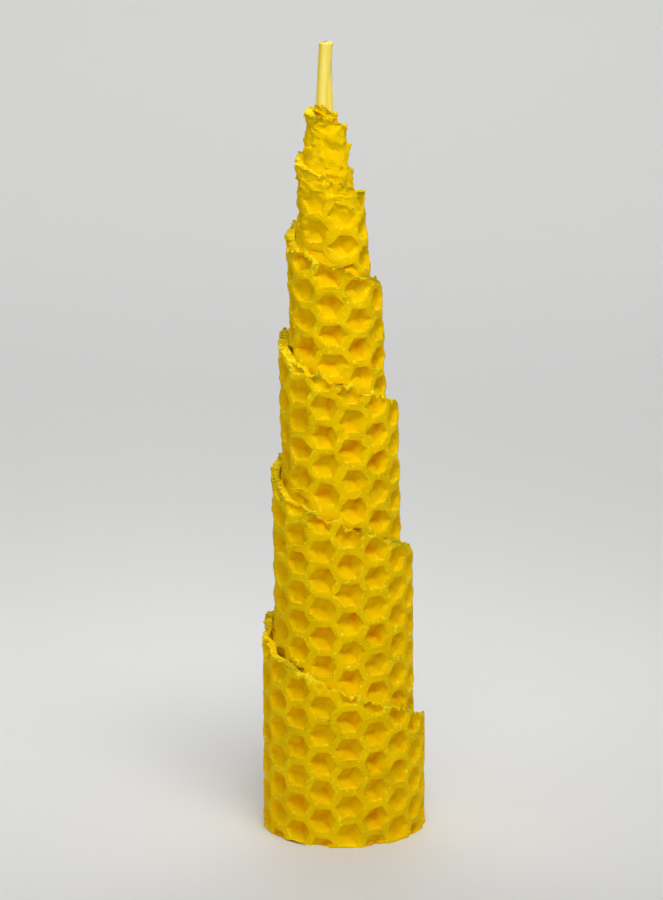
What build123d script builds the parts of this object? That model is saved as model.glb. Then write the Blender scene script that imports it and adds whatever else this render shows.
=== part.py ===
"""A tapered candle rolled from one sheet of honeycomb beeswax foundation.

The sheet has a straight foot, two upright ends and a sloping cut along its top. It is rolled
round a waxed cotton wick from its tall end, so the sloping cut climbs the candle as a spiral of
steps. Walls are drawn smooth, as thick as the sheet is over its cell walls, with a thin gap
between turns. The first turn is squeezed on to the wick and thins out to nothing.

Frame: origin at the wick's foot on the face that the candle stands on, +Z up, -Y to the front.
Angles along the sheet are counted in degrees, inwards from its outer end.
"""

import os
from math import cos, pi, radians, sin

from build123d import *

# Sheet
sheet_thickness = 1.96
turn_pitch = 2.08
outer_radius = 15.31
outer_end_direction = 45.0
outer_end_height = 16.0
cut_slope = 0.38
squeezed_edge_thickness = 0.25
full_wall_strips = 12
squeezed_strips = 2
points_per_strip = 15

# Wick
wick_radius = 1.2
braid_radius = 0.94
wick_clearance = 0.04
wick_top_height = 141.4
braid_stands_proud = 0.35

# Lean towards -X above a height. The roll leans a little, and the free wick leans back.
lean_height = 52.0
lean_per_mm = 0.0415
free_wick_height = 134.0
free_wick_lean_per_mm = -0.09

# Worked out from the values above
lean_back_per_mm = free_wick_lean_per_mm - lean_per_mm
wick_hole_radius = wick_radius + wick_clearance
full_wall_angle = 360 * (outer_radius - sheet_thickness - wick_hole_radius) / turn_pitch
squeezed_angle = 360 * (sheet_thickness - squeezed_edge_thickness) / turn_pitch


def outside_radius(angle):
    """Distance from the wick's axis to the sheet's outer face."""
    return outer_radius - turn_pitch * angle / 360


def inside_radius(angle):
    """Distance from the wick's axis to the sheet's inner face, which stays off the wick."""
    return max(outside_radius(angle) - sheet_thickness, wick_hole_radius)


def cut_height(angle):
    """Height of the sloping cut, which rises in step with the length of sheet rolled in."""
    middle_of_outer_end = outer_radius - sheet_thickness / 2
    turned = radians(angle)
    length = middle_of_outer_end * turned - turn_pitch * turned**2 / (4 * pi)
    return outer_end_height + cut_slope * length


def cut_edge(radius_at, first, last):
    """The curve of the sloping cut on one face of the sheet, between two angles."""
    points = []
    for i in range(points_per_strip):
        angle = first + (last - first) * i / (points_per_strip - 1)
        direction = radians(outer_end_direction - angle)
        radius = radius_at(angle)
        points.append((radius * cos(direction), radius * sin(direction), cut_height(angle)))
    return Spline(*points, mode=Mode.PRIVATE).edge()


def add_strip(first, last):
    """Adds the upright strip of wall under the sloping cut between two angles."""
    cut_face = Face.make_surface_from_curves(
        cut_edge(inside_radius, first, last), cut_edge(outside_radius, first, last)
    )
    extrude(to_extrude=cut_face, amount=2 * wick_top_height, dir=(0, 0, -1))


def add_strips(first, last, count):
    """Adds several strips of wall, end to end."""
    step = (last - first) / count
    for i in range(count):
        add_strip(first + i * step, first + (i + 1) * step)


def sheared_above(height, shift_per_mm, shape):
    """The shape with everything above a height shifted towards -X, more the higher it is."""
    plane = Plane.XY.offset(height)
    lower = split(shape, bisect_by=plane, keep=Keep.BOTTOM, mode=Mode.PRIVATE)
    upper = split(shape, bisect_by=plane, keep=Keep.TOP, mode=Mode.PRIVATE)
    shear = Matrix(
        [
            [1, 0, -shift_per_mm, shift_per_mm * height],
            [0, 1, 0, 0],
            [0, 0, 1, 0],
        ]
    )
    return lower, upper.transform_geometry(shear)


with BuildPart() as upright_roll:
    add_strips(0, full_wall_angle, full_wall_strips)
    add_strips(full_wall_angle, full_wall_angle + squeezed_angle, squeezed_strips)
    split(bisect_by=Plane.XY, keep=Keep.TOP)

with BuildPart() as honeycomb_sheet:
    add(sheared_above(lean_height, lean_per_mm, upright_roll.part))
honeycomb_sheet.part.label = "honeycomb_sheet"

with BuildPart() as upright_braid:
    Cylinder(braid_radius, wick_top_height, align=(Align.CENTER, Align.CENTER, Align.MIN))

with BuildPart() as leaning_braid:
    add(sheared_above(lean_height, lean_per_mm, upright_braid.part))

with BuildPart() as wick_braid:
    add(sheared_above(free_wick_height, lean_back_per_mm, leaning_braid.part))
wick_braid.part.label = "wick_braid"

with BuildPart() as upright_coat:
    coat_height = wick_top_height - braid_stands_proud
    Cylinder(wick_radius, coat_height, align=(Align.CENTER, Align.CENTER, Align.MIN))
    Hole(braid_radius)

with BuildPart() as leaning_coat:
    add(sheared_above(lean_height, lean_per_mm, upright_coat.part))

with BuildPart() as wick_wax_coat:
    add(sheared_above(free_wick_height, lean_back_per_mm, leaning_coat.part))
wick_wax_coat.part.label = "wick_wax_coat"

os.makedirs("parts", exist_ok=True)
export_step(honeycomb_sheet.part, "parts/honeycomb_sheet.step")
export_step(wick_braid.part, "parts/wick_braid.step")
export_step(wick_wax_coat.part, "parts/wick_wax_coat.step")
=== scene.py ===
"""A tapered candle rolled by hand from honeycomb beeswax, on a plain pale floor.

The sheet is modelled flat and then rolled. In the flat sheet u is the distance from the outer
end, v the height and n the distance out from the middle of the wall, all in millimetres. The
angle a is how far the sheet has been rolled in from its outer end, in radians.
"""

import random
from itertools import pairwise
from math import atan, cos, pi, radians, sin, sqrt
from typing import NamedTuple

import bmesh
import bpy
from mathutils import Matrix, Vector, noise
from mathutils.bvhtree import BVHTree


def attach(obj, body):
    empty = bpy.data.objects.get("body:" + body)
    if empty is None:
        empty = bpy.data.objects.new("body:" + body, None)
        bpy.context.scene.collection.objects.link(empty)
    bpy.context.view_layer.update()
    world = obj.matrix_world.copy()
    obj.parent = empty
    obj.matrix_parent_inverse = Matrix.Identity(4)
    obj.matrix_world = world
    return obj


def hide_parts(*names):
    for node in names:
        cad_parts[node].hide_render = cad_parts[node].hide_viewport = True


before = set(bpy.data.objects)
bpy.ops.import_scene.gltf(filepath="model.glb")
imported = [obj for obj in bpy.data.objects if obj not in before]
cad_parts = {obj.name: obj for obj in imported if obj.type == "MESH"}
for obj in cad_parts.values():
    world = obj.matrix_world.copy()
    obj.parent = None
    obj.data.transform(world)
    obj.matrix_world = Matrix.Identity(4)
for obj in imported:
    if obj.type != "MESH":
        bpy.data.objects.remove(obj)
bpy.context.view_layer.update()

MM = 0.001

# Sheet, as in the CAD model
SHEET_THICKNESS = 1.96
TURN_PITCH = 2.08
OUTER_RADIUS = 15.31
OUTER_END_DIRECTION = radians(45.0)
OUTER_END_HEIGHT = 16.0
CUT_SLOPE = 0.38
SQUEEZED_EDGE_THICKNESS = 0.25
WICK_HOLE_RADIUS = 1.24
MIDDLE_RADIUS = OUTER_RADIUS - SHEET_THICKNESS / 2
ROLLED_ANGLE = 2 * pi * (OUTER_RADIUS - WICK_HOLE_RADIUS - SQUEEZED_EDGE_THICKNESS) / TURN_PITCH
CUT_COSINE = cos(atan(CUT_SLOPE))

# Wick, as in the CAD model
WICK_RADIUS = 1.2
BRAID_RADIUS = 0.94
WICK_TOP = 141.4
COAT_TOP = 140.6
WICK_LEAN = 0.054

# Top of the wax in the photo, where it is squashed down below the CAD model's
WAX_TOP = 131.0

# Cells. Their columns stand upright, and their rows run slightly downhill along the sheet.
CELL_ROW = 5.24
CELL_COLUMN = 4.61
FIRST_CELL_U = 31.43
FIRST_CELL_V = 2.31
ROW_FALL = 0.0141
FLOOR_RISE = 0.78
FLOOR_THICKNESS = 0.2
FLOOR_SET_BACK = 0.1
CREST = SHEET_THICKNESS / 2
CREST_CROWN = 0.1
CREST_HALF_WIDTH = 0.58
WALL_FOOT_HALF_WIDTH = 0.95
WALL_SPAN = CELL_ROW / 2
CREST_LEVEL_N = 0.95

# How far under a cut edge the turn inside it is still made with fine cells
FINE_BELOW_EDGE = 3.5

# Distances at which points are one point, or lie on a side of the sheet
WELD_DISTANCE = 0.001
SIDE_DISTANCE = 0.002
PLANE_DISTANCE = 1e-5

# How far the candle's axis bends to the left, and how far its tip comes back
AXIS_BEND = 0.000275
AXIS_BENT_FROM = 20.0
TIP_RETURN = 0.15
TIP_RETURNS = (122.0, 9.0)

# Heights between which something grows from nothing to all, as a start and a length
WORN = (25.0, 50.0)
CRUSHED = (104.0, 20.0)
LEVELLED = (104.0, 14.0)
FILLED_WIDER = (106.0, 10.0)
PINCHED = (108.0, 18.0)
LIP_THICKER = (112.0, 10.0)
TIP_DRAWN = (112.0, 12.0)
TIP_CUT = (122.5, 4.0)
SLUMPED = (126.0, 4.0)
CRUMPLED = (106.0, 14.0)

# Wear of the cells at the foot, which doubles further up
LEAST_WORN = 0.6

# Crushing of the top: folds, flattening, cells filled out to a level, and sideways drift
FOLD_MIDDLE = 0.6
FOLD_SHARE = 0.5
CRUSH_FLATTENING = 0.3
CRUSH_FILLING = 0.6
CRUSH_LEVEL = 0.9
LEAST_DRIFT = 0.25
CRUSH_DRIFT = 0.8

# How far down from the cut the sheet is torn, and how far up from the foot it is held still
TORN_DEPTH = 2.5
STILL_FOOT = 2.0

# The tip: drawn up, squashed above a height, pinched in on the wick and slumped on the right
TIP_DRAW = 1.1
SQUASHED_FROM = 128.5
SQUASH = 0.65
PINCH = 0.1
SLUMP = 1.7

# Finer folds and lumps in what shows of the top, where longer edges are halved first
CRUMPLE_FOLD = 0.55
CRUMPLE_FOLD_WIDTH = 2.2
CRUMPLE_FOLD_HEIGHT = 1.3
CRUMPLE_SHARPNESS = 1.5
CRUMPLE_MIDDLE = 0.35
CRUMPLE_LUMP = 0.2
CRUMPLE_LUMP_SIZE = 0.8
LONG_EDGE = 0.5
MOSTLY_SHOWING = 0.9

# Where the sheet's edges are pressed together by the knife and the table
CUT_PRESSED = (0.1, 0.7)
FOOT_PRESSED = (0.1, 0.6)
MIDDLE_PRESSING = 0.6
LEAST_PRESSING = 0.15
LIP_OUTER_HALF = 0.92
LIP_INNER_HALF = 0.8
LIP_INNER_EXTRA = 0.45

# The wax pressed into the cells behind a cut edge
FILLED_MIDDLE = 0.2
FILLED_REACH = 1.0
FILLED_FADE = 1.4
FILLED_MOST = 0.9
FILLED_TOP_EXTRA = 0.8
FILLED_LEVEL = 1.12
HIDDEN_LEVEL_EXTRA = 0.25
HIDDEN_BELOW = (-0.4, 0.6)

# How the cut edge springs away from the turn inside it, and the foot's rim spreads
LIP_GAP = 0.02
LIP_SPRUNG = 5.0
RIM_SPREAD = 0.12
RIM_HEIGHT = 1.2

# The torn flap on the foot: where along the sheet, at the candle's front left, and its size
FLAP_U = 41.0
FLAP_HALF_WIDTH = 3.0
FLAP_LIFT = 0.5
FLAP_SPREAD = 0.3

# Crumbs of wax on the cut: how deep under it and how far out, and their radii
CUT_CRUMBS = 640
CUT_CRUMB_DEPTH = 0.1
CUT_CRUMBS_OUT = (-0.5, 1.0)
CUT_CRUMB_LEAST_RADIUS = 0.12
CUT_CRUMB_MORE_RADIUS = 0.3

# Crumbs of wax on the cell walls: their places along a wall, their scatter, and their radii
CREST_CRUMBS = 320
CREST_CRUMB_SHARES = (0.1, 0.35, 0.6, 0.85)
CREST_CRUMB_SCATTER = 0.3
CREST_CRUMB_LEAST_RADIUS = 0.1
CREST_CRUMB_MORE_RADIUS = 0.14

# Crumbs of both kinds: the seed of their places, and where the sheet has none
CRUMB_SEED = 4
CRUMB_UNEVENNESS = 0.6
CRUMB_SHAPE_STEP = 3.7
CRUMB_MARGIN = 1
BARE_INNER_LENGTH = 12.0

# Relief, which drives the wax's colour with painted shade and light: 0 down in the cells, painted
# darker and oranger, 1 on the walls, more on the cut and the crumbs, which are painted pale as
# highlights
INNER_FACE_RELIEF = 0.5
SLOPE_PAINTED_LIGHT = 0.35
LEVEL_RELIEF = 0.85
LEVELLING = 0.8
CUT_PAINTED_HIGHLIGHT = 0.7
CUT_PAINTED_HIGHLIGHT_DEPTH = 0.7
CRUMB_PAINTED_HIGHLIGHT = 2.3

# Edges sharper than this are shaded as edges
SHARP_ANGLE = radians(32)


class Lumps(NamedTuple):
    """Lumps made by noise: how high and how wide they are, and the seed of their places."""

    height: float
    width: float
    seed: int


DENTS = Lumps(0.26, 1.5, 1)
FINE_DENTS = Lumps(0.14, 0.7, 18)
FOLDS = Lumps(2.4, 3.4, 17)
CRUSH = Lumps(0.9, 2.4, 3)
FINE_CRUSH = Lumps(0.5, 0.9, 12)
DRIFT_ALONG = Lumps(1.0, 3.5, 5)
DRIFT_UP = Lumps(1.0, 3.5, 6)
WEAR_ALONG = Lumps(0.42, 1.5, 10)
WEAR_UP = Lumps(0.42, 1.5, 11)
TEARS = Lumps(0.9, 2.4, 7)
FINE_TEARS = Lumps(0.8, 0.9, 8)
PRESSING = Lumps(1.1, 1.3, 13)
LIP_EDGE = Lumps(0.3, 0.9, 4)
FILLING = Lumps(1.2, 1.7, 16)
FOOT_WAVES = Lumps(0.35, 4.0, 14)
LIP_WAVES = Lumps(0.1, 9.0, 9)
RIM_WAVES = Lumps(0.3, 2.0, 15)
SEED_STEP = 7.3


def strip_lines(side_strips):
    """Where a facet is cut into strips, as shares of the way to the middle of the wall."""
    foot = 1 - WALL_FOOT_HALF_WIDTH / WALL_SPAN
    crest = 1 - CREST_HALF_WIDTH / WALL_SPAN
    side = [foot + (crest - foot) * i / side_strips for i in range(side_strips)]
    return (0.0, foot / 2, *side, crest, 1.0)


FINE_LINES = strip_lines(3)
COARSE_LINES = (0.0, 1 - (WALL_FOOT_HALF_WIDTH + CREST_HALF_WIDTH) / 2 / WALL_SPAN, 1.0)


def length_at(a):
    """Length of sheet from the outer end to a rolled angle."""
    return MIDDLE_RADIUS * a - TURN_PITCH * a * a / (4 * pi)


def angle_at(u):
    """Rolled angle at a length from the outer end, held to the sheet's own length."""
    u = min(max(u, 0), SHEET_LENGTH)
    root = sqrt(MIDDLE_RADIUS**2 - TURN_PITCH * u / pi)
    return (MIDDLE_RADIUS - root) * 2 * pi / TURN_PITCH


def cut_height(u):
    """Height of the sloping cut at a length from the outer end."""
    return OUTER_END_HEIGHT + CUT_SLOPE * u


SHEET_LENGTH = length_at(ROLLED_ANGLE)


def smooth(x):
    """0 below 0, 1 above 1 and a smooth step between."""
    x = min(max(x, 0.0), 1.0)
    return x * x * (3 - 2 * x)


def rise(x, start, length):
    """0 up to a start, 1 once a length past it and a smooth step between."""
    return smooth((x - start) / length)


def rough(u, v, lumps):
    """Noise from about minus to plus the height of its lumps."""
    place = Vector((u / lumps.width, v / lumps.width, lumps.seed * SEED_STEP))
    return lumps.height * noise.noise(place)


# The flat sheet


def wall_share(from_wall):
    """How much of a cell wall stands at a distance from the wall's middle."""
    slope_width = WALL_FOOT_HALF_WIDTH - CREST_HALF_WIDTH
    return 1 - smooth((from_wall - CREST_HALF_WIDTH) / slope_width)


def walled(floor, from_wall, crest):
    """Height over a floor at a distance from a wall's middle, with the wall's crest crowned."""
    crown = CREST_CROWN * min(from_wall / CREST_HALF_WIDTH, 1) ** 2
    return floor + (crest * (1 - crown) - floor) * wall_share(from_wall)


def front_height(p, q):
    """Outer face of the sheet over a floor facet, where p or q of 1 is a wall's middle."""
    floor = FLOOR_RISE * (p + q - 1) - FLOOR_SET_BACK + FLOOR_THICKNESS / 2
    return walled(floor, (1 - max(p, q)) * WALL_SPAN, CREST)


def back_height(p, q):
    """Inner face of the sheet, whose shallower cells have their walls where p or q is 0."""
    floor = FLOOR_RISE * (p + q - 1) - FLOOR_SET_BACK - FLOOR_THICKNESS / 2
    return walled(floor, min(p, q) * WALL_SPAN, -CREST)


def shows(u, v):
    """Whether the outer face can be seen there, above the turn that is wrapped over it."""
    a = angle_at(u)
    if a < 2 * pi:
        return True
    return v > cut_height(length_at(a - 2 * pi)) - FINE_BELOW_EDGE


def row_drop(u):
    """How far the rows of cells have run downhill at a length from the outer end."""
    return ROW_FALL * (u - FIRST_CELL_U)


def cell_centres():
    """Centres of the outer face's cells, on level rows, wherever one is on the sheet."""
    margin = CELL_ROW
    column = -int(FIRST_CELL_U / CELL_COLUMN) - 2
    while True:
        u = FIRST_CELL_U + column * CELL_COLUMN
        if u > SHEET_LENGTH + margin:
            return
        v = FIRST_CELL_V - CELL_ROW + (column % 2) * CELL_ROW / 2
        while v - row_drop(u) < cut_height(u) + margin:
            yield Vector((u, v))
            v += CELL_ROW
        column += 1


def cell_facets(centre):
    """The three floor facets of a cell, each as two of its corners on the cell's edge."""
    third, half = CELL_COLUMN / 3, CELL_ROW / 2
    upper, lower, side = Vector((-third, half)), Vector((-third, -half)), Vector((2 * third, 0))
    return (upper, lower), (upper, side), (side, lower)


def facet_outline(p_span, q_span, beyond_p, beyond_q):
    """Corners of one patch of a facet, with the corners that finer cells beyond it need."""
    (p0, p1), (q0, q1) = p_span, q_span
    outline = [(p0, q0), (p1, q0)]
    if p1 == 1 and beyond_p:
        outline += [(1, q) for q in FINE_LINES if q0 < q < q1]
    outline.append((p1, q1))
    if q1 == 1 and beyond_q:
        outline += [(p, 1) for p in reversed(FINE_LINES) if p0 < p < p1]
    outline.append((p0, q1))
    return outline


def face_of_cells(height, lines_at):
    """One face of the flat sheet, larger than the sheet, as a welded bmesh."""
    points, faces = [], []
    for centre in cell_centres():
        lines = lines_at(*centre)
        for c1, c2 in cell_facets(centre):
            far = centre + c1 + c2
            beyond_p = lines_at(*(far + c1)) is FINE_LINES
            beyond_q = lines_at(*(far + c2)) is FINE_LINES
            for p_span in pairwise(lines):
                for q_span in pairwise(lines):
                    outline = facet_outline(p_span, q_span, beyond_p, beyond_q)
                    first = len(points)
                    for p, q in outline:
                        spot = centre + p * c1 + q * c2
                        points.append((spot.x, spot.y - row_drop(spot.x), height(p, q)))
                    faces.append(range(first, len(points)))
    mesh = bpy.data.meshes.new("flat_face")
    mesh.from_pydata(points, [], faces)
    face = bmesh.new()
    face.from_mesh(mesh)
    bpy.data.meshes.remove(mesh)
    bmesh.ops.remove_doubles(face, verts=face.verts, dist=WELD_DISTANCE)
    return face


def score(face, point, across, clear_beyond=False):
    """Adds a line of edges along an upright plane, and can cut away what lies beyond it."""
    bmesh.ops.bisect_plane(
        face,
        geom=face.verts[:] + face.edges[:] + face.faces[:],
        dist=PLANE_DISTANCE,
        plane_co=(*point, 0),
        plane_no=(*across, 0),
        clear_outer=clear_beyond,
    )


# The four sides of the flat sheet: a point on each, and the way out of the sheet
SIDES = {
    "foot": ((0, 0), (0, -1)),
    "outer_end": ((0, 0), (-1, 0)),
    "cut": ((0, OUTER_END_HEIGHT), (-CUT_SLOPE, 1)),
    "inner_end": ((SHEET_LENGTH, 0), (1, 0)),
}

# How far in from the cut and from the foot the faces get extra lines of edges
RIM_LINES = (0.12, 0.3, 0.55, 0.9)


def side_of(co):
    """Names of the sides that a point of the flat sheet lies on."""
    names = []
    for name, (point, outwards) in SIDES.items():
        reach = (co.x - point[0]) * outwards[0] + (co.y - point[1]) * outwards[1]
        if abs(reach) < SIDE_DISTANCE:
            names.append(name)
    return names


def flat_face(height, lines_at):
    """One face of the flat sheet, cut to its outline, with extra lines at the cut and foot."""
    face = face_of_cells(height, lines_at)
    for point, outwards in SIDES.values():
        score(face, point, outwards, clear_beyond=True)
    for depth in RIM_LINES:
        score(face, (0, OUTER_END_HEIGHT - depth / CUT_COSINE), SIDES["cut"][1])
    for depth in RIM_LINES:
        score(face, (0, depth), SIDES["foot"][1])
    return face


def close_side(sheet, front, back, along):
    """Closes one side of the sheet with triangles between the edges of its two faces."""
    front = sorted(front, key=along)
    back = sorted(back, key=along)
    i = j = 0
    while i < len(front) - 1 or j < len(back) - 1:
        more_front = i < len(front) - 1
        more_back = j < len(back) - 1
        if more_front and (not more_back or along(front[i + 1]) <= along(back[j + 1])):
            sheet.faces.new((front[i], front[i + 1], back[j]))
            i += 1
        else:
            sheet.faces.new((front[i], back[j + 1], back[j]))
            j += 1


def flat_sheet():
    """The whole sheet, flat and closed, and how many of its points are the outer face's."""
    sheet = bmesh.new()
    edges, counts = [], []
    layouts = (
        (front_height, lambda u, v: FINE_LINES if shows(u, v) else COARSE_LINES),
        (back_height, lambda u, v: tuple(1 - x for x in reversed(COARSE_LINES))),
    )
    for height, lines_at in layouts:
        face = flat_face(height, lines_at)
        mesh = bpy.data.meshes.new("face")
        face.to_mesh(mesh)
        face.free()
        known = set(sheet.verts)
        sheet.from_mesh(mesh)
        bpy.data.meshes.remove(mesh)
        edges.append([v for v in sheet.verts if v not in known and v.is_boundary])
        counts.append(len(sheet.verts))
    for name in SIDES:
        chains = [[v for v in chain if name in side_of(v.co)] for chain in edges]
        upright = name.endswith("end")
        close_side(sheet, *chains, along=lambda v: v.co.y if upright else v.co.x)
    bmesh.ops.recalc_face_normals(sheet, faces=sheet.faces)
    return sheet, counts[0]


# Rolling


def axis_shift(z):
    """How far to the right of the foot the candle's axis is at a height, up to the wax's top."""
    return -AXIS_BEND * max(z - AXIS_BENT_FROM, 0) ** 2 + TIP_RETURN * rise(z, *TIP_RETURNS)


def edge_distance(u, v):
    """Distance of a point of the flat sheet from the sloping cut above it."""
    return (cut_height(u) - v) * CUT_COSINE


def flap_share(u):
    """1 at the middle of the foot's torn flap and 0 beyond its ends."""
    return 1 - smooth(abs(u - FLAP_U) / FLAP_HALF_WIDTH)


def pressed_edge(u, v, n, outer):
    """Distance out from the wall's middle where the sheet's edges are pressed together."""
    near_cut = 1 - rise(edge_distance(u, v), *CUT_PRESSED)
    near_foot = 1 - rise(v, *FOOT_PRESSED)
    pressed = min(max(MIDDLE_PRESSING + rough(u, v, PRESSING), LEAST_PRESSING), 1)
    if outer:
        half = LIP_OUTER_HALF + rough(u, v, LIP_EDGE)
    else:
        half = -LIP_INNER_HALF - LIP_INNER_EXTRA * rise(v, *LIP_THICKER)
    return n + max(near_cut, near_foot) * pressed * (half - n)


def pressed_in(u, v, n):
    """Distance out once the lip of the next turn out has been pressed into the cells behind it."""
    a = angle_at(u)
    if a < 2 * pi:
        return n
    above = v - cut_height(length_at(a - 2 * pi))
    top = rise(v, *FILLED_WIDER)
    reach = FILLED_REACH * (1 + 2 * top)
    near_lip = 1 - rise(abs(above + FILLED_MIDDLE), reach, FILLED_FADE)
    filled = smooth(FILLED_MOST + FILLED_TOP_EXTRA * top + rough(u, v, FILLING))
    level = FILLED_LEVEL + HIDDEN_LEVEL_EXTRA * (1 - rise(above, *HIDDEN_BELOW))
    return n + near_lip * filled * (level - n)


def marked(u, v, n, outer, worn, crushed):
    """Distance out from the wall's middle after wear, crushing and pressing."""
    n += worn * (rough(u, v, DENTS) + rough(u, v, FINE_DENTS))
    fold = FOLD_MIDDLE - abs(rough(u, v, FOLDS))
    lumps = rough(u, v, CRUSH) + rough(u, v, FINE_CRUSH)
    n += crushed * (lumps + FOLD_SHARE * fold - CRUSH_FLATTENING * n)
    if outer:
        n += CRUSH_FILLING * crushed * (CRUSH_LEVEL - n)
        n = pressed_in(u, v, n)
    return pressed_edge(u, v, n, outer)


def handled(u, v, n, outer):
    """A point of one face of the flat sheet after cutting and handling have marked it."""
    crushed = rise(v, *CRUSHED)
    worn = LEAST_WORN * (1 + rise(v, *WORN))
    n = marked(u, v, n, outer, worn, crushed)
    drift = LEAST_DRIFT + CRUSH_DRIFT * crushed
    u_moved = drift * rough(u, v, DRIFT_ALONG) + worn * rough(u, v, WEAR_ALONG)
    v_moved = drift * rough(u, v, DRIFT_UP) + worn * rough(u, v, WEAR_UP)
    torn = 1 - smooth(edge_distance(u, v) / TORN_DEPTH)
    v_moved += torn * (rough(u, 0, TEARS) + rough(u, 0, FINE_TEARS))
    above_foot = smooth(v / STILL_FOOT)
    u += u_moved * above_foot
    v += v_moved * above_foot
    v += (1 - above_foot) * foot_lift(u)
    v += TIP_DRAW * rise(cut_height(u), *TIP_CUT) * rise(v, *TIP_DRAWN)
    v -= SQUASH * max(v - SQUASHED_FROM, 0)
    return u, v, n


def foot_lift(u):
    """How far the foot's rim has lifted off the table: a little, and most at its torn flap."""
    return max(rough(u, 0, FOOT_WAVES), 0) + FLAP_LIFT * flap_share(u)


def flare(u, v):
    """How far the cut edge has sprung away from the turn inside it, and the foot's rim out."""
    spring = max(LIP_GAP + rough(u, 0, LIP_WAVES), 0)
    rim = RIM_SPREAD + FLAP_SPREAD * flap_share(u) + rough(u, 0, RIM_WAVES)
    sprung = (1 - smooth(edge_distance(u, v) / LIP_SPRUNG)) ** 2
    return spring * sprung + rim * (1 - smooth(v / RIM_HEIGHT))


def rolled(u, v, n, outer):
    """The place of a point of the flat sheet once it is rolled up, in millimetres."""
    u, v, n = handled(u, v, n, outer)
    a = angle_at(u)
    outside = OUTER_RADIUS - TURN_PITCH * a / (2 * pi)
    inside = max(outside - SHEET_THICKNESS, WICK_HOLE_RADIUS)
    radius = inside + (n / SHEET_THICKNESS + 0.5) * (outside - inside) + flare(u, v)
    radius -= PINCH * rise(v, *PINCHED) * (radius - WICK_HOLE_RADIUS)
    direction = OUTER_END_DIRECTION - a
    x = radius * cos(direction) + axis_shift(v)
    slump = SLUMP * rise(v, *SLUMPED) * max(cos(direction), 0)
    return Vector((x, radius * sin(direction), max(v - slump, 0)))


def crumb_shape():
    """Points and faces of a ball of unit radius with few faces."""
    ball = bmesh.new()
    bmesh.ops.create_icosphere(ball, subdivisions=1, radius=1)
    points = [vert.co.copy() for vert in ball.verts]
    faces = [[vert.index for vert in face.verts] for face in ball.faces]
    ball.free()
    return points, faces


def crest_spots():
    """Places along the middles of the cell walls that can be seen, on the flat sheet."""
    spots = []
    for centre in cell_centres():
        for c1, c2 in cell_facets(centre):
            for share in CREST_CRUMB_SHARES:
                spot = centre + c1 + share * c2
                u, v = spot.x, spot.y - row_drop(spot.x)
                within_length = 0 < u < SHEET_LENGTH - BARE_INNER_LENGTH
                within_height = CRUMB_MARGIN < v < cut_height(u) - CRUMB_MARGIN
                if within_length and within_height and shows(u, v):
                    spots.append((u, v))
    return spots


def crumb_places():
    """Flat-sheet places of the crumbs on the cut, then of those on the walls, with their radii."""
    chance = random.Random(CRUMB_SEED)
    places = []
    for _ in range(CUT_CRUMBS):
        u = chance.uniform(0, SHEET_LENGTH - BARE_INNER_LENGTH)
        v = cut_height(u) - CUT_CRUMB_DEPTH * chance.random()
        n = chance.uniform(*CUT_CRUMBS_OUT)
        radius = CUT_CRUMB_LEAST_RADIUS + CUT_CRUMB_MORE_RADIUS * chance.random() ** 3
        places.append((u, v, n, radius))
    for u, v in chance.sample(crest_spots(), CREST_CRUMBS):
        u += chance.uniform(-CREST_CRUMB_SCATTER, CREST_CRUMB_SCATTER)
        v += chance.uniform(-CREST_CRUMB_SCATTER, CREST_CRUMB_SCATTER)
        radius = CREST_CRUMB_LEAST_RADIUS + CREST_CRUMB_MORE_RADIUS * chance.random() ** 2
        places.append((u, v, CREST_LEVEL_N, radius))
    return places


def add_crumbs(built):
    """Crumbs of wax that the knife left on the sloping cut, and smaller ones on the cell walls.

    Each is moved to the nearest point of the sheet's surface, so that none of them floats.
    """
    ball_points, ball_faces = crumb_shape()
    surface = BVHTree.FromBMesh(built)
    points, faces = [], []
    for i, (u, v, n, radius) in enumerate(crumb_places()):
        centre = surface.find_nearest(rolled(u, v, n, True) * MM)[0]
        first = len(points)
        for spot in ball_points:
            place = spot + Vector((i * CRUMB_SHAPE_STEP, 0, 0))
            uneven = 1 + CRUMB_UNEVENNESS * noise.noise(place)
            points.append(centre + spot * radius * uneven * MM)
        faces += [[first + k for k in face] for face in ball_faces]
    mesh = bpy.data.meshes.new("crumbs")
    mesh.from_pydata(points, [], faces)
    built.from_mesh(mesh)
    bpy.data.meshes.remove(mesh)


def crumple(sheet, showing):
    """Works finer folds into what shows of the top turns, where they were squeezed hardest."""
    top = CRUMPLED[0] * MM
    long_edges = [
        edge
        for edge in sheet.edges
        if min(vert.co.z for vert in edge.verts) > top
        and min(vert[showing] for vert in edge.verts) > MOSTLY_SHOWING
        and edge.calc_length() > LONG_EDGE * MM
    ]
    bmesh.ops.subdivide_edges(sheet, edges=long_edges, cuts=1, use_grid_fill=True)
    sheet.normal_update()
    moves = []
    for vert in sheet.verts:
        if vert.co.z > top and vert[showing] > MOSTLY_SHOWING:
            x, y, z = vert.co / MM
            width, height = CRUMPLE_FOLD_WIDTH, CRUMPLE_FOLD_HEIGHT
            ridge = abs(noise.noise(Vector((x / width, y / width, z / height))))
            fold = CRUMPLE_SHARPNESS * ridge - CRUMPLE_MIDDLE
            lumps = noise.noise(Vector((x, y, z)) / CRUMPLE_LUMP_SIZE)
            outwards = CRUMPLE_FOLD * fold - CRUMPLE_LUMP * lumps
            moves.append((vert, vert.normal * rise(z, *CRUMPLED) * outwards * MM))
    for vert, move in moves:
        vert.co += move


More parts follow.
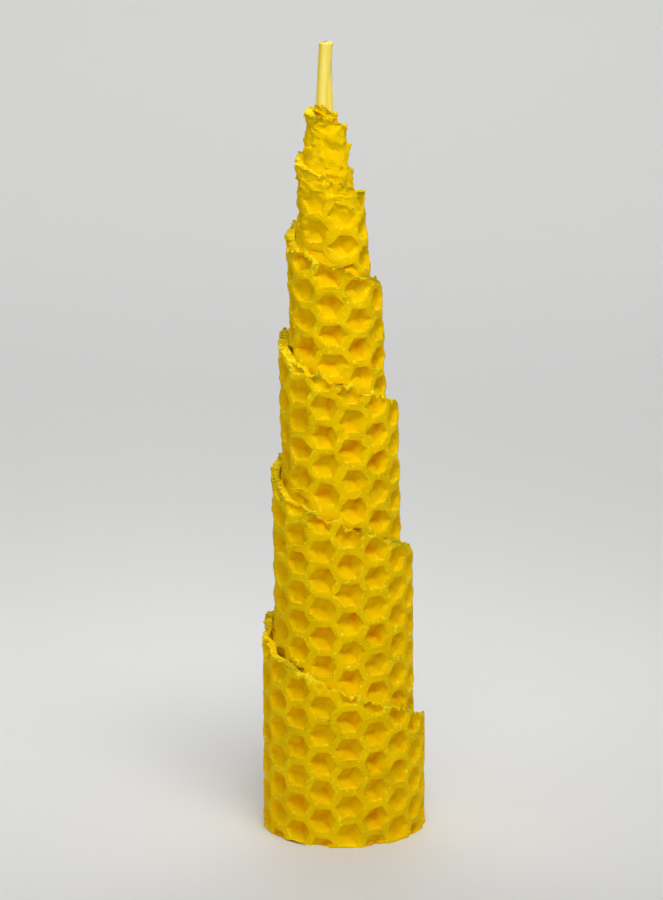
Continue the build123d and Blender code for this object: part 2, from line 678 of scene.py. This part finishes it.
def relief_at(vert, outer):
    """Relief of a point of the flat sheet, for painted shade and light: less down in a cell and on
    slopes that face down, more on slopes that face up and near the cut.
    """
    u, v, n = vert.co
    lowest = front_height(0, 0)
    relief = (n - lowest) / (CREST - lowest) if outer else INNER_FACE_RELIEF
    # Painted light and shade: slopes that face up are painted paler, and slopes that face down
    # darker
    relief += SLOPE_PAINTED_LIGHT * vert.normal.y
    relief += LEVELLING * rise(v, *LEVELLED) * (LEVEL_RELIEF - relief)
    # Painted highlight: the wax is painted paler along the cut
    return relief + CUT_PAINTED_HIGHLIGHT * (1 - smooth(edge_distance(u, v) / CUT_PAINTED_HIGHLIGHT_DEPTH))


def make_sheet(material):
    """The rolled sheet as one closed piece, with each point's relief kept for its material's
    painted shade and highlights.
    """
    sheet, outer_points = flat_sheet()
    sheet.normal_update()
    relief = sheet.verts.layers.float.new("relief")
    showing = sheet.verts.layers.float.new("showing")
    for i, vert in enumerate(sheet.verts):
        outer = i < outer_points
        vert[showing] = outer and shows(vert.co.x, vert.co.y)
        vert[relief] = relief_at(vert, outer)
    for i, vert in enumerate(sheet.verts):
        vert.co = rolled(*vert.co, i < outer_points) * MM
    # The sheet is rolled clockwise, which turns its mesh inside out, so the faces are reversed
    bmesh.ops.reverse_faces(sheet, faces=sheet.faces)
    bmesh.ops.triangulate(sheet, faces=[f for f in sheet.faces if len(f.verts) > 4])
    crumple(sheet, showing)
    wax_points = len(sheet.verts)
    add_crumbs(sheet)
    # Painted highlight: the crumbs are painted in the palest wax
    for vert in list(sheet.verts)[wax_points:]:
        vert[relief] = CRUMB_PAINTED_HIGHLIGHT
    return mesh_piece("honeycomb_sheet_wax", sheet, material)


def mesh_piece(name, built, material):
    """An object made from a bmesh."""
    mesh = bpy.data.meshes.new(name)
    for face in built.faces:
        face.smooth = True
    built.to_mesh(mesh)
    built.free()
    mesh.set_sharp_from_angle(angle=SHARP_ANGLE)
    mesh.materials.append(material)
    piece = bpy.data.objects.new(name, mesh)
    bpy.context.collection.objects.link(piece)
    return piece


# Materials

# Pitch of the ridges on the cell walls, and how many bands to a unit a wave texture has
RIDGE_PITCH = 0.28
BANDS_AT_UNIT_SCALE = 10 / pi

# Positions and colours of the beeswax, from painted shade at the bottom of a cell to painted
# highlights on the walls, the cut and the crumbs
BEESWAX_SHADE_AND_HIGHLIGHT_COLOURS = (
    (0.14, (0.8, 0.235, 0.0003)),
    (0.27, (0.85, 0.4, 0.0005)),
    (0.38, (0.885, 0.56, 0.0008)),
    (0.62, (0.9, 0.6, 0.0011)),
    (0.88, (1.0, 0.8, 0.02)),
)
COTTON_COLOURS = ((0.3, (0.8, 0.66, 0.25)), (0.7, (0.9, 0.8, 0.42)))
WICK_WAX_COLOURS = ((0.35, (1.0, 0.72, 0.07)), (0.65, (1.0, 0.82, 0.2)))


def node_material(name):
    """A new material, its node tree and its Principled shader."""
    material = bpy.data.materials.new(name)
    material.use_nodes = True
    tree = material.node_tree
    return material, tree, tree.nodes["Principled BSDF"]


def noise_node(tree, scale, detail=4.0, roughness=0.5, stretch=(1, 1, 1)):
    """Noise in the object's own metres, drawn out along an axis whose stretch is small."""
    place = tree.nodes.new("ShaderNodeTexCoord")
    mapping = tree.nodes.new("ShaderNodeMapping")
    mapping.inputs["Scale"].default_value = stretch
    tree.links.new(place.outputs["Object"], mapping.inputs["Vector"])
    texture = tree.nodes.new("ShaderNodeTexNoise")
    texture.inputs["Scale"].default_value = scale
    texture.inputs["Detail"].default_value = detail
    texture.inputs["Roughness"].default_value = roughness
    tree.links.new(mapping.outputs["Vector"], texture.inputs["Vector"])
    return texture.outputs["Fac"]


def patch_node(tree, scale, detail, above, contrast):
    """1 in the patches where noise is well above a level, and 0 outside them."""
    over = math_node(tree, "SUBTRACT", noise_node(tree, scale, detail), above)
    return math_node(tree, "MULTIPLY", over, contrast, clamp=True)


def ridge_node(tree):
    """Fine level ridges, one above the other."""
    place = tree.nodes.new("ShaderNodeTexCoord")
    wave = tree.nodes.new("ShaderNodeTexWave")
    wave.bands_direction = "Z"
    wave.inputs["Scale"].default_value = 1 / (BANDS_AT_UNIT_SCALE * RIDGE_PITCH * MM)
    wave.inputs["Distortion"].default_value = 1.5
    wave.inputs["Detail Scale"].default_value = 0.3
    tree.links.new(place.outputs["Object"], wave.inputs["Vector"])
    return wave.outputs["Fac"]


def ramp_node(tree, factor, stops):
    """A colour ramp over a factor."""
    ramp = tree.nodes.new("ShaderNodeValToRGB")
    elements = ramp.color_ramp.elements
    while len(elements) < len(stops):
        elements.new(0.5)
    for element, (position, colour) in zip(elements, stops):
        element.position = position
        element.color = (*colour, 1)
    tree.links.new(factor, ramp.inputs["Fac"])
    return ramp.outputs["Color"]


def bump_node(tree, height, distance):
    """Bump from a height, with a distance in metres."""
    bump = tree.nodes.new("ShaderNodeBump")
    bump.inputs["Distance"].default_value = distance
    tree.links.new(height, bump.inputs["Height"])
    return bump.outputs["Normal"]


def math_node(tree, operation, *values, clamp=False):
    """A sum on numbers and other nodes' outputs."""
    node = tree.nodes.new("ShaderNodeMath")
    node.operation = operation
    node.use_clamp = clamp
    for socket, value in zip(node.inputs, values):
        if isinstance(value, (int, float)):
            socket.default_value = value
        else:
            tree.links.new(value, socket)
    return node.outputs["Value"]


def wax_tone(tree, relief):
    """Place on the beeswax's colours: up with the relief for painted shade and light, with
    mottling and painted glints on the walls.
    """
    # Painted glints: pale specks in patches along the tops of the cell walls
    painted_glints = patch_node(tree, scale=1500, detail=2, above=0.6, contrast=12.0)
    painted_glints = math_node(tree, "MULTIPLY", painted_glints, math_node(tree, "POWER", relief, 4.0))
    painted_glints = math_node(tree, "MINIMUM", painted_glints, 1.0)
    tone = math_node(tree, "MULTIPLY", noise_node(tree, 260, 5, 0.6), 0.6)
    tone = math_node(tree, "MULTIPLY_ADD", relief, 0.25, tone)
    return math_node(tree, "MULTIPLY_ADD", painted_glints, 0.33, tone)


def wax_height(tree, relief):
    """Height for the beeswax's bump: grain and lumps, with patches of ridges on the cell walls."""
    ridges = math_node(tree, "MULTIPLY", ridge_node(tree), math_node(tree, "POWER", relief, 3.0))
    patches = patch_node(tree, scale=180, detail=1, above=0.45, contrast=6.0)
    ridges = math_node(tree, "MULTIPLY", ridges, patches)
    height = math_node(tree, "MULTIPLY_ADD", ridges, 0.8, noise_node(tree, 2500, 6, 0.65))
    return math_node(tree, "MULTIPLY_ADD", noise_node(tree, 1100, 1), 1.2, height)


def beeswax():
    """Golden beeswax: satin, slightly see-through, with painted shade down in the cells and
    painted highlights on the walls.
    """
    material, tree, shader = node_material("beeswax")
    attribute = tree.nodes.new("ShaderNodeAttribute")
    attribute.attribute_name = "relief"
    relief = attribute.outputs["Fac"]
    # Painted shade and light: the ramp gives darker, oranger wax down in the cells and paler wax
    # on the walls, the cut and the crumbs
    colour = ramp_node(tree, wax_tone(tree, relief), BEESWAX_SHADE_AND_HIGHLIGHT_COLOURS)
    tree.links.new(colour, shader.inputs["Base Color"])
    shader.inputs["Subsurface Weight"].default_value = 0.3
    shader.inputs["Subsurface Radius"].default_value = (1.0, 0.7, 0.1)
    shader.inputs["Subsurface Scale"].default_value = 0.4 * MM
    shader.inputs["Specular IOR Level"].default_value = 0.02
    shader.inputs["Specular Tint"].default_value = (1.0, 0.82, 0.1, 1)
    roughness = tree.nodes.new("ShaderNodeMapRange")
    roughness.inputs["To Min"].default_value = 0.45
    roughness.inputs["To Max"].default_value = 0.7
    tree.links.new(noise_node(tree, 900, 3), roughness.inputs["Value"])
    tree.links.new(roughness.outputs["Result"], shader.inputs["Roughness"])
    bump = bump_node(tree, wax_height(tree, relief), 0.12 * MM)
    tree.links.new(bump, shader.inputs["Normal"])
    return material


def waxed_cotton():
    """Pale cotton soaked in wax, with a bump for its fibres."""
    material, tree, shader = node_material("waxed_cotton")
    colour = ramp_node(tree, noise_node(tree, 1500), COTTON_COLOURS)
    tree.links.new(colour, shader.inputs["Base Color"])
    shader.inputs["Roughness"].default_value = 0.6
    fibres = bump_node(tree, noise_node(tree, 6000, 3), 0.06 * MM)
    tree.links.new(fibres, shader.inputs["Normal"])
    return material


def wick_wax():
    """The paler wax on the wick, streaked along its length."""
    material, tree, shader = node_material("wick_wax")
    streaks = noise_node(tree, 900, 3, stretch=(1, 1, 0.04))
    tree.links.new(ramp_node(tree, streaks, WICK_WAX_COLOURS), shader.inputs["Base Color"])
    shader.inputs["Subsurface Weight"].default_value = 0.3
    shader.inputs["Subsurface Radius"].default_value = (1.0, 0.9, 0.4)
    shader.inputs["Subsurface Scale"].default_value = 0.6 * MM
    shader.inputs["Specular IOR Level"].default_value = 0.25
    shader.inputs["Roughness"].default_value = 0.45
    drips = bump_node(tree, noise_node(tree, 1800), 0.05 * MM)
    tree.links.new(drips, shader.inputs["Normal"])
    return material


def pale_floor():
    """A plain pale studio surface."""
    material, tree, shader = node_material("floor")
    shader.inputs["Base Color"].default_value = (0.82, 0.82, 0.805, 1)
    shader.inputs["Roughness"].default_value = 0.5
    shader.inputs["Specular IOR Level"].default_value = 0.2
    return material


# Stage, in metres

FLOOR_FRONT = -2.0
FLOOR_BACK = 1.2
FLOOR_HALF_WIDTH = 3.0
FLOOR_CURVE_RADIUS = 0.6
FLOOR_CURVE_STEPS = 12
BACKDROP_TOP = 3.0

CAMERA_PLACE = (-0.00173, -0.6344, 0.21668)
CAMERA_DEGREES_DOWN = 13.1
CAMERA_FOCAL_LENGTH_MM = 147.3


def make_floor():
    """A seamless sheet: floor in front, curving up behind."""
    profile = [(FLOOR_FRONT, 0.0), (FLOOR_BACK, 0.0)]
    for i in range(1, FLOOR_CURVE_STEPS + 1):
        turned = radians(90 * i / FLOOR_CURVE_STEPS)
        y = FLOOR_BACK + FLOOR_CURVE_RADIUS * sin(turned)
        profile.append((y, FLOOR_CURVE_RADIUS * (1 - cos(turned))))
    profile.append((FLOOR_BACK + FLOOR_CURVE_RADIUS, BACKDROP_TOP))
    built = bmesh.new()
    sides = (-FLOOR_HALF_WIDTH, FLOOR_HALF_WIDTH)
    rows = [[built.verts.new((x, y, z)) for x in sides] for y, z in profile]
    for low, high in pairwise(rows):
        built.faces.new((low[0], low[1], high[1], high[0]))
    floor = mesh_piece("floor", built, pale_floor())


def add_light(name, location, target, size, power, spread=180):
    """A rectangular soft light aimed at a point, with its spread in degrees."""
    light = bpy.data.lights.new(name, "AREA")
    light.shape = "RECTANGLE"
    light.size, light.size_y = size
    light.energy = power
    light.spread = radians(spread)
    lamp = bpy.data.objects.new(name, light)
    lamp.location = location
    lamp.rotation_euler = (Vector(target) - Vector(location)).to_track_quat("-Z", "Y").to_euler()
    bpy.context.collection.objects.link(lamp)


def make_lights():
    """Soft studio light: two lamps above, four round the front and two for the floor behind."""
    foot, middle = (0, 0, 0.05), (0, 0, 0.08)
    add_light("key", (0.1, -0.32, 0.64), (0, 0, 0.09), size=(0.5, 0.18), power=1.27)
    add_light("top", (0.06, -0.2, 0.42), (0, 0, 0.14), size=(0.2, 0.08), power=0.05, spread=40)
    add_light("front", (-0.15, -0.85, 0.5), foot, size=(0.5, 0.5), power=1.25)
    add_light("glint", (0.03, -0.62, 0.3), middle, size=(0.06, 0.06), power=0.22)
    add_light("fill", (-0.7, -0.5, 0.5), middle, size=(0.6, 0.6), power=0.76)
    add_light("side", (0.7, -0.25, 0.3), middle, size=(0.5, 0.5), power=0.46)
    add_light("backdrop", (0, 1.15, 1.25), (0, 1.1, 0), size=(1.4, 1.4), power=6.6, spread=120)
    add_light("floor_light", (0, 0.5, 0.7), (0, 0.5, 0), size=(1.0, 0.35), power=0.14, spread=80)
    world = bpy.data.worlds.new("studio")
    world.use_nodes = True
    background = world.node_tree.nodes["Background"]
    background.inputs["Color"].default_value = (0.95, 0.97, 1.0, 1)
    background.inputs["Strength"].default_value = 0.16
    bpy.context.scene.world = world
    bpy.context.scene.view_settings.view_transform = "Standard"


def make_camera():
    """The camera, a little above the candle's top and looking down at it."""
    lens = bpy.data.cameras.new("camera")
    lens.lens = CAMERA_FOCAL_LENGTH_MM
    lens.clip_start = 0.05
    camera = bpy.data.objects.new("camera", lens)
    camera.location = CAMERA_PLACE
    camera.rotation_euler = (radians(90 - CAMERA_DEGREES_DOWN), 0, 0)
    bpy.context.collection.objects.link(camera)
    bpy.context.scene.camera = camera


# Wick

COAT_STEPS = 120
COAT_SEGMENTS = 28
COAT_WOBBLE = 0.05
COAT_WOBBLE_HEIGHT = 2.5
BORE_WOBBLE = 0.02

# Rings of the coat's rim: how far above the coat's top, and how much wider than the coat.
# The rim closes in to the mouth, and below that the bore is as wide as the braid.
COAT_RIM = ((0.12, 0.04), (0.4, 0.05), (0.6, 0.0), (0.68, -0.16))
COAT_MOUTH_ABOVE = 0.6
COAT_MOUTH_RADIUS = 0.55 * BRAID_RADIUS
BORE_TOP = COAT_TOP + 0.1

STRANDS = 3
STRAND_RADIUS = 0.44
STRAND_UNEVENNESS = 0.08
STRAND_SEGMENTS = 10
STRAND_STEPS_PER_PITCH = 16
PLAIT_PITCH = 7.0
PLAIT_HALF_WIDTH = 0.46 * BRAID_RADIUS
PLAIT_HALF_DEPTH = 0.3 * BRAID_RADIUS


def wick_axis(z):
    """Middle of the wick at a height: it follows the roll, then leans back."""
    x = axis_shift(min(z, WAX_TOP)) + WICK_LEAN * max(z - WAX_TOP, 0)
    return Vector((x, 0, z))


def add_tube(built, rings, closed=False):
    """Joins rings of points into a tube, with flat ends unless its last ring meets its first."""
    rows = [[built.verts.new(point * MM) for point in ring] for ring in rings]
    pairs = list(pairwise(rows))
    if closed:
        pairs.append((rows[-1], rows[0]))
    else:
        built.faces.new(list(reversed(rows[0])))
        built.faces.new(rows[-1])
    for low, high in pairs:
        for i in range(len(low)):
            k = (i + 1) % len(low)
            built.faces.new((low[i], low[k], high[k], high[i]))


def coat_ring(z, radius, wobble=COAT_WOBBLE):
    """A ring of the wick's wax coat at a height, slightly uneven."""
    ring = []
    for i in range(COAT_SEGMENTS):
        turned = 2 * pi * i / COAT_SEGMENTS
        around = Vector((cos(turned), sin(turned), 0))
        place = Vector((2 * around.x, 2 * around.y, z / COAT_WOBBLE_HEIGHT))
        uneven = 1 + wobble * noise.noise(place)
        ring.append(wick_axis(z) + radius * uneven * around)
    return ring


def make_coat(material):
    """The wax coat: a tube round the braid, whose cut top is rounded and nearly closed."""
    rings = [coat_ring(COAT_TOP * i / COAT_STEPS, WICK_RADIUS) for i in range(COAT_STEPS + 1)]
    rings += [coat_ring(COAT_TOP + above, WICK_RADIUS + wider) for above, wider in COAT_RIM]
    rings.append(coat_ring(COAT_TOP + COAT_MOUTH_ABOVE, COAT_MOUTH_RADIUS, BORE_WOBBLE))
    for z in (BORE_TOP, COAT_TOP / 2, 0):
        rings.append(coat_ring(z, BRAID_RADIUS, BORE_WOBBLE))
    built = bmesh.new()
    add_tube(built, rings, closed=True)
    bmesh.ops.recalc_face_normals(built, faces=built.faces)
    return mesh_piece("wick_coat", built, material)


def plait_point(z, phase):
    """Middle of one strand of the plait at a height."""
    turned = 2 * pi * z / PLAIT_PITCH + phase
    aside = PLAIT_HALF_WIDTH * sin(turned)
    across = PLAIT_HALF_DEPTH * sin(2 * turned)
    return wick_axis(z) + Vector((aside, across, 0))


def strand_ring(middle, step):
    """A ring of one strand round its middle, with three lobes that turn from step to step."""
    ring = []
    for k in range(STRAND_SEGMENTS):
        turned = 2 * pi * k / STRAND_SEGMENTS
        around = Vector((cos(turned), sin(turned), 0))
        uneven = 1 + STRAND_UNEVENNESS * cos(3 * turned + step)
        ring.append(middle + STRAND_RADIUS * uneven * around)
    return ring


def make_braid(material):
    """The cotton braid: plaited strands along the wick's whole height."""
    built = bmesh.new()
    steps = round(WICK_TOP / PLAIT_PITCH * STRAND_STEPS_PER_PITCH)
    for strand in range(STRANDS):
        phase = strand * 2 * pi / STRANDS
        middles = [plait_point(WICK_TOP * i / steps, phase) for i in range(steps + 1)]
        add_tube(built, [strand_ring(middle, i) for i, middle in enumerate(middles)])
    bmesh.ops.recalc_face_normals(built, faces=built.faces)
    return mesh_piece("wick_plait", built, material)


make_camera()
make_lights()
make_floor()

sheet_piece = make_sheet(beeswax())
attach(sheet_piece, "root")
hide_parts("honeycomb_sheet")

coat_piece = make_coat(wick_wax())
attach(coat_piece, "root")
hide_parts("wick_wax_coat")

plait_piece = make_braid(waxed_cotton())
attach(plait_piece, "root")
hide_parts("wick_braid")
